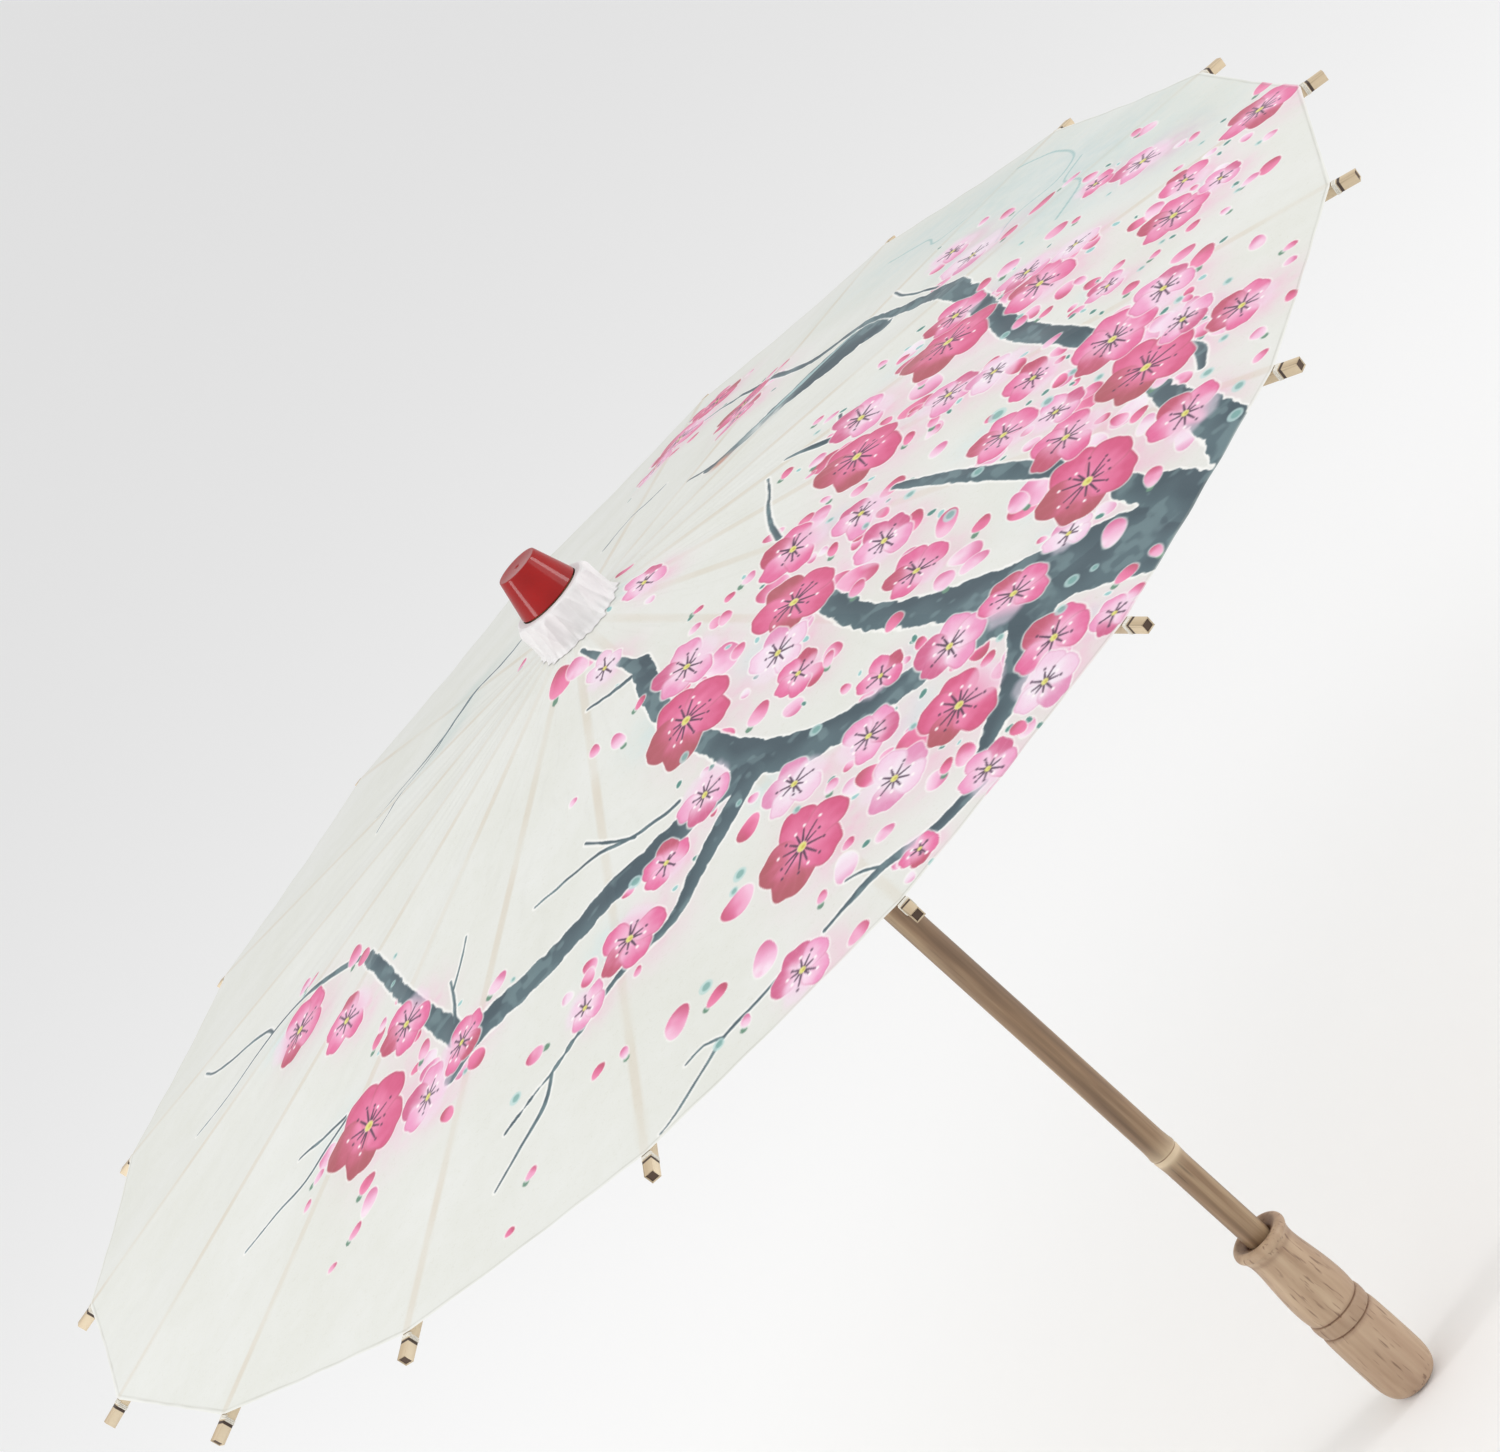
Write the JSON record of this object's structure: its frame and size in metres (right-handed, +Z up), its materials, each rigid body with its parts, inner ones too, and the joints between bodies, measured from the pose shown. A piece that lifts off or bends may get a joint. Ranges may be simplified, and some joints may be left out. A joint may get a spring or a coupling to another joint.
{
  "type": "oil paper umbrella",
  "caption": "Open oil paper umbrella with bamboo ribs and stretchers, a sliding runner, a spring catch, a red cap and a turned wooden handle.",
  "frame": {"origin": "centre of the handle's flat end, at the bottom of the open umbrella", "axes": "+Z up along the shaft to the cap; +X along rib_01, with the other ribs counter-clockwise seen from above"},
  "size_m": [0.576, 0.568, 0.429],
  "materials": {
    "rib_bamboo": "split pale bamboo, satin",
    "shaft_bamboo": "brown bamboo with long grain, satin",
    "turned_wood": "turned light brown wood, lightly polished",
    "hub_wood": "carved wood, matt",
    "red_lacquer": "glossy deep red",
    "oiled_paper": "oiled off-white paper with a printed blossom pattern",
    "wrap_paper": "crinkled white paper, gathered round the crown",
    "thread": "twisted cotton thread, matt"
  },
  "bodies": {
    "frame": {"shaft": "shaft_bamboo", "handle": "turned_wood", "top_hub": "hub_wood", "cap": "red_lacquer", "crown_wrap": "wrap_paper", "hub_thread": "thread"},
    "rib_01_body": {"rib_01": "rib_bamboo", "canopy_panel_1": "oiled_paper"},
    "stretcher_01_body": {"stretcher_01": "rib_bamboo"},
    "rib_02_body": {"rib_02": "rib_bamboo"},
    "stretcher_02_body": {"stretcher_02": "rib_bamboo"},
    "rib_03_body": {"rib_03": "rib_bamboo", "canopy_panel_2": "oiled_paper"},
    "stretcher_03_body": {"stretcher_03": "rib_bamboo"},
    "rib_04_body": {"rib_04": "rib_bamboo"},
    "stretcher_04_body": {"stretcher_04": "rib_bamboo"},
    "rib_05_body": {"rib_05": "rib_bamboo", "canopy_panel_3": "oiled_paper"},
    "stretcher_05_body": {"stretcher_05": "rib_bamboo"},
    "rib_06_body": {"rib_06": "rib_bamboo"},
    "stretcher_06_body": {"stretcher_06": "rib_bamboo"},
    "rib_07_body": {"rib_07": "rib_bamboo", "canopy_panel_4": "oiled_paper"},
    "stretcher_07_body": {"stretcher_07": "rib_bamboo"},
    "rib_08_body": {"rib_08": "rib_bamboo"},
    "stretcher_08_body": {"stretcher_08": "rib_bamboo"},
    "rib_09_body": {"rib_09": "rib_bamboo", "canopy_panel_5": "oiled_paper"},
    "stretcher_09_body": {"stretcher_09": "rib_bamboo"},
    "rib_10_body": {"rib_10": "rib_bamboo"},
    "stretcher_10_body": {"stretcher_10": "rib_bamboo"},
    "rib_11_body": {"rib_11": "rib_bamboo", "canopy_panel_6": "oiled_paper"},
    "stretcher_11_body": {"stretcher_11": "rib_bamboo"},
    "rib_12_body": {"rib_12": "rib_bamboo"},
    "stretcher_12_body": {"stretcher_12": "rib_bamboo"},
    "rib_13_body": {"rib_13": "rib_bamboo", "canopy_panel_7": "oiled_paper"},
    "stretcher_13_body": {"stretcher_13": "rib_bamboo"},
    "rib_14_body": {"rib_14": "rib_bamboo"},
    "stretcher_14_body": {"stretcher_14": "rib_bamboo"},
    "rib_15_body": {"rib_15": "rib_bamboo", "canopy_panel_8": "oiled_paper"},
    "stretcher_15_body": {"stretcher_15": "rib_bamboo"},
    "rib_16_body": {"rib_16": "rib_bamboo"},
    "stretcher_16_body": {"stretcher_16": "rib_bamboo"},
    "rib_17_body": {"rib_17": "rib_bamboo", "canopy_panel_9": "oiled_paper"},
    "stretcher_17_body": {"stretcher_17": "rib_bamboo"},
    "rib_18_body": {"rib_18": "rib_bamboo"},
    "stretcher_18_body": {"stretcher_18": "rib_bamboo"},
    "runner_body": {"runner": "hub_wood", "runner_thread": "thread"},
    "catch_body": {"latch_catch": "rib_bamboo"}
  },
  "joints": [
    {"name": "fold", "type": "hinge", "parent": "frame", "child": "rib_01_body", "pos_m": [0.0115, 0, 0.3961], "axis": [0, 1, 0], "range_deg": [0, 76.5], "deforming": ["canopy_panel_1"]},
    {"name": "stretcher_01_turn", "type": "hinge", "parent": "rib_01_body", "child": "stretcher_01_body", "pos_m": [0.13183, 0, 0.37596], "axis": [0, 1, 0], "range_deg": [-153, 0]},
    {"name": "rib_02_fold", "type": "hinge", "parent": "frame", "child": "rib_02_body", "pos_m": [0.01081, 0.00393, 0.3961], "axis": [-0.342, 0.9397, 0], "range_deg": [0, 76.5]},
    {"name": "stretcher_02_turn", "type": "hinge", "parent": "rib_02_body", "child": "stretcher_02_body", "pos_m": [0.12388, 0.04509, 0.37596], "axis": [-0.342, 0.9397, 0], "range_deg": [-153, 0]},
    {"name": "rib_03_fold", "type": "hinge", "parent": "frame", "child": "rib_03_body", "pos_m": [0.00881, 0.00739, 0.3961], "axis": [-0.6428, 0.766, 0], "range_deg": [0, 76.5], "deforming": ["canopy_panel_2"]},
    {"name": "stretcher_03_turn", "type": "hinge", "parent": "rib_03_body", "child": "stretcher_03_body", "pos_m": [0.10099, 0.08474, 0.37596], "axis": [-0.6428, 0.766, 0], "range_deg": [-153, 0]},
    {"name": "rib_04_fold", "type": "hinge", "parent": "frame", "child": "rib_04_body", "pos_m": [0.00575, 0.00996, 0.3961], "axis": [-0.866, 0.5, 0], "range_deg": [0, 76.5]},
    {"name": "stretcher_04_turn", "type": "hinge", "parent": "rib_04_body", "child": "stretcher_04_body", "pos_m": [0.06591, 0.11417, 0.37596], "axis": [-0.866, 0.5, 0], "range_deg": [-153, 0]},
    {"name": "rib_05_fold", "type": "hinge", "parent": "frame", "child": "rib_05_body", "pos_m": [0.002, 0.01133, 0.3961], "axis": [-0.9848, 0.1736, 0], "range_deg": [0, 76.5], "deforming": ["canopy_panel_3"]},
    {"name": "stretcher_05_turn", "type": "hinge", "parent": "rib_05_body", "child": "stretcher_05_body", "pos_m": [0.02289, 0.12982, 0.37596], "axis": [-0.9848, 0.1736, 0], "range_deg": [-153, 0]},
    {"name": "rib_06_fold", "type": "hinge", "parent": "frame", "child": "rib_06_body", "pos_m": [-0.002, 0.01133, 0.3961], "axis": [-0.9848, -0.1736, 0], "range_deg": [0, 76.5]},
    {"name": "stretcher_06_turn", "type": "hinge", "parent": "rib_06_body", "child": "stretcher_06_body", "pos_m": [-0.02289, 0.12982, 0.37596], "axis": [-0.9848, -0.1736, 0], "range_deg": [-153, 0]},
    {"name": "rib_07_fold", "type": "hinge", "parent": "frame", "child": "rib_07_body", "pos_m": [-0.00575, 0.00996, 0.3961], "axis": [-0.866, -0.5, 0], "range_deg": [0, 76.5], "deforming": ["canopy_panel_4"]},
    {"name": "stretcher_07_turn", "type": "hinge", "parent": "rib_07_body", "child": "stretcher_07_body", "pos_m": [-0.06591, 0.11417, 0.37596], "axis": [-0.866, -0.5, 0], "range_deg": [-153, 0]},
    {"name": "rib_08_fold", "type": "hinge", "parent": "frame", "child": "rib_08_body", "pos_m": [-0.00881, 0.00739, 0.3961], "axis": [-0.6428, -0.766, 0], "range_deg": [0, 76.5]},
    {"name": "stretcher_08_turn", "type": "hinge", "parent": "rib_08_body", "child": "stretcher_08_body", "pos_m": [-0.10099, 0.08474, 0.37596], "axis": [-0.6428, -0.766, 0], "range_deg": [-153, 0]},
    {"name": "rib_09_fold", "type": "hinge", "parent": "frame", "child": "rib_09_body", "pos_m": [-0.01081, 0.00393, 0.3961], "axis": [-0.342, -0.9397, 0], "range_deg": [0, 76.5], "deforming": ["canopy_panel_5"]},
    {"name": "stretcher_09_turn", "type": "hinge", "parent": "rib_09_body", "child": "stretcher_09_body", "pos_m": [-0.12388, 0.04509, 0.37596], "axis": [-0.342, -0.9397, 0], "range_deg": [-153, 0]},
    {"name": "rib_10_fold", "type": "hinge", "parent": "frame", "child": "rib_10_body", "pos_m": [-0.0115, 0, 0.3961], "axis": [0, -1, 0], "range_deg": [0, 76.5]},
    {"name": "stretcher_10_turn", "type": "hinge", "parent": "rib_10_body", "child": "stretcher_10_body", "pos_m": [-0.13183, 0, 0.37596], "axis": [0, -1, 0], "range_deg": [-153, 0]},
    {"name": "rib_11_fold", "type": "hinge", "parent": "frame", "child": "rib_11_body", "pos_m": [-0.01081, -0.00393, 0.3961], "axis": [0.342, -0.9397, 0], "range_deg": [0, 76.5], "deforming": ["canopy_panel_6"]},
    {"name": "stretcher_11_turn", "type": "hinge", "parent": "rib_11_body", "child": "stretcher_11_body", "pos_m": [-0.12388, -0.04509, 0.37596], "axis": [0.342, -0.9397, 0], "range_deg": [-153, 0]},
    {"name": "rib_12_fold", "type": "hinge", "parent": "frame", "child": "rib_12_body", "pos_m": [-0.00881, -0.00739, 0.3961], "axis": [0.6428, -0.766, 0], "range_deg": [0, 76.5]},
    {"name": "stretcher_12_turn", "type": "hinge", "parent": "rib_12_body", "child": "stretcher_12_body", "pos_m": [-0.10099, -0.08474, 0.37596], "axis": [0.6428, -0.766, 0], "range_deg": [-153, 0]},
    {"name": "rib_13_fold", "type": "hinge", "parent": "frame", "child": "rib_13_body", "pos_m": [-0.00575, -0.00996, 0.3961], "axis": [0.866, -0.5, 0], "range_deg": [0, 76.5], "deforming": ["canopy_panel_7"]},
    {"name": "stretcher_13_turn", "type": "hinge", "parent": "rib_13_body", "child": "stretcher_13_body", "pos_m": [-0.06591, -0.11417, 0.37596], "axis": [0.866, -0.5, 0], "range_deg": [-153, 0]},
    {"name": "rib_14_fold", "type": "hinge", "parent": "frame", "child": "rib_14_body", "pos_m": [-0.002, -0.01133, 0.3961], "axis": [0.9848, -0.1736, 0], "range_deg": [0, 76.5]},
    {"name": "stretcher_14_turn", "type": "hinge", "parent": "rib_14_body", "child": "stretcher_14_body", "pos_m": [-0.02289, -0.12982, 0.37596], "axis": [0.9848, -0.1736, 0], "range_deg": [-153, 0]},
    {"name": "rib_15_fold", "type": "hinge", "parent": "frame", "child": "rib_15_body", "pos_m": [0.002, -0.01133, 0.3961], "axis": [0.9848, 0.1736, 0], "range_deg": [0, 76.5], "deforming": ["canopy_panel_8"]},
    {"name": "stretcher_15_turn", "type": "hinge", "parent": "rib_15_body", "child": "stretcher_15_body", "pos_m": [0.02289, -0.12982, 0.37596], "axis": [0.9848, 0.1736, 0], "range_deg": [-153, 0]},
    {"name": "rib_16_fold", "type": "hinge", "parent": "frame", "child": "rib_16_body", "pos_m": [0.00575, -0.00996, 0.3961], "axis": [0.866, 0.5, 0], "range_deg": [0, 76.5]},
    {"name": "stretcher_16_turn", "type": "hinge", "parent": "rib_16_body", "child": "stretcher_16_body", "pos_m": [0.06591, -0.11417, 0.37596], "axis": [0.866, 0.5, 0], "range_deg": [-153, 0]},
    {"name": "rib_17_fold", "type": "hinge", "parent": "frame", "child": "rib_17_body", "pos_m": [0.00881, -0.00739, 0.3961], "axis": [0.6428, 0.766, 0], "range_deg": [0, 76.5], "deforming": ["canopy_panel_9"]},
    {"name": "stretcher_17_turn", "type": "hinge", "parent": "rib_17_body", "child": "stretcher_17_body", "pos_m": [0.10099, -0.08474, 0.37596], "axis": [0.6428, 0.766, 0], "range_deg": [-153, 0]},
    {"name": "rib_18_fold", "type": "hinge", "parent": "frame", "child": "rib_18_body", "pos_m": [0.01081, -0.00393, 0.3961], "axis": [0.342, 0.9397, 0], "range_deg": [0, 76.5]},
    {"name": "stretcher_18_turn", "type": "hinge", "parent": "rib_18_body", "child": "stretcher_18_body", "pos_m": [0.12388, -0.04509, 0.37596], "axis": [0.342, 0.9397, 0], "range_deg": [-153, 0]},
    {"name": "runner_turn", "type": "hinge", "parent": "stretcher_01_body", "child": "runner_body", "pos_m": [0.0115, 0, 0.35583], "axis": [0, 1, 0], "range_deg": [0, 76.5]},
    {"name": "catch_press", "type": "hinge", "parent": "frame", "child": "catch_body", "pos_m": [0, 0, 0.31253], "axis": [0, 1, 0], "range_deg": [-6.5, 0], "stiffness_Nm_per_rad": 0.25, "deforming": ["latch_catch"]}
  ],
  "couplings": [
    {"joint": "stretcher_01_turn", "follows": "fold", "ratio": -2},
    {"joint": "rib_02_fold", "follows": "fold", "ratio": 1},
    {"joint": "stretcher_02_turn", "follows": "fold", "ratio": -2},
    {"joint": "rib_03_fold", "follows": "fold", "ratio": 1},
    {"joint": "stretcher_03_turn", "follows": "fold", "ratio": -2},
    {"joint": "rib_04_fold", "follows": "fold", "ratio": 1},
    {"joint": "stretcher_04_turn", "follows": "fold", "ratio": -2},
    {"joint": "rib_05_fold", "follows": "fold", "ratio": 1},
    {"joint": "stretcher_05_turn", "follows": "fold", "ratio": -2},
    {"joint": "rib_06_fold", "follows": "fold", "ratio": 1},
    {"joint": "stretcher_06_turn", "follows": "fold", "ratio": -2},
    {"joint": "rib_07_fold", "follows": "fold", "ratio": 1},
    {"joint": "stretcher_07_turn", "follows": "fold", "ratio": -2},
    {"joint": "rib_08_fold", "follows": "fold", "ratio": 1},
    {"joint": "stretcher_08_turn", "follows": "fold", "ratio": -2},
    {"joint": "rib_09_fold", "follows": "fold", "ratio": 1},
    {"joint": "stretcher_09_turn", "follows": "fold", "ratio": -2},
    {"joint": "rib_10_fold", "follows": "fold", "ratio": 1},
    {"joint": "stretcher_10_turn", "follows": "fold", "ratio": -2},
    {"joint": "rib_11_fold", "follows": "fold", "ratio": 1},
    {"joint": "stretcher_11_turn", "follows": "fold", "ratio": -2},
    {"joint": "rib_12_fold", "follows": "fold", "ratio": 1},
    {"joint": "stretcher_12_turn", "follows": "fold", "ratio": -2},
    {"joint": "rib_13_fold", "follows": "fold", "ratio": 1},
    {"joint": "stretcher_13_turn", "follows": "fold", "ratio": -2},
    {"joint": "rib_14_fold", "follows": "fold", "ratio": 1},
    {"joint": "stretcher_14_turn", "follows": "fold", "ratio": -2},
    {"joint": "rib_15_fold", "follows": "fold", "ratio": 1},
    {"joint": "stretcher_15_turn", "follows": "fold", "ratio": -2},
    {"joint": "rib_16_fold", "follows": "fold", "ratio": 1},
    {"joint": "stretcher_16_turn", "follows": "fold", "ratio": -2},
    {"joint": "rib_17_fold", "follows": "fold", "ratio": 1},
    {"joint": "stretcher_17_turn", "follows": "fold", "ratio": -2},
    {"joint": "rib_18_fold", "follows": "fold", "ratio": 1},
    {"joint": "stretcher_18_turn", "follows": "fold", "ratio": -2},
    {"joint": "runner_turn", "follows": "fold", "ratio": 1}
  ]
}
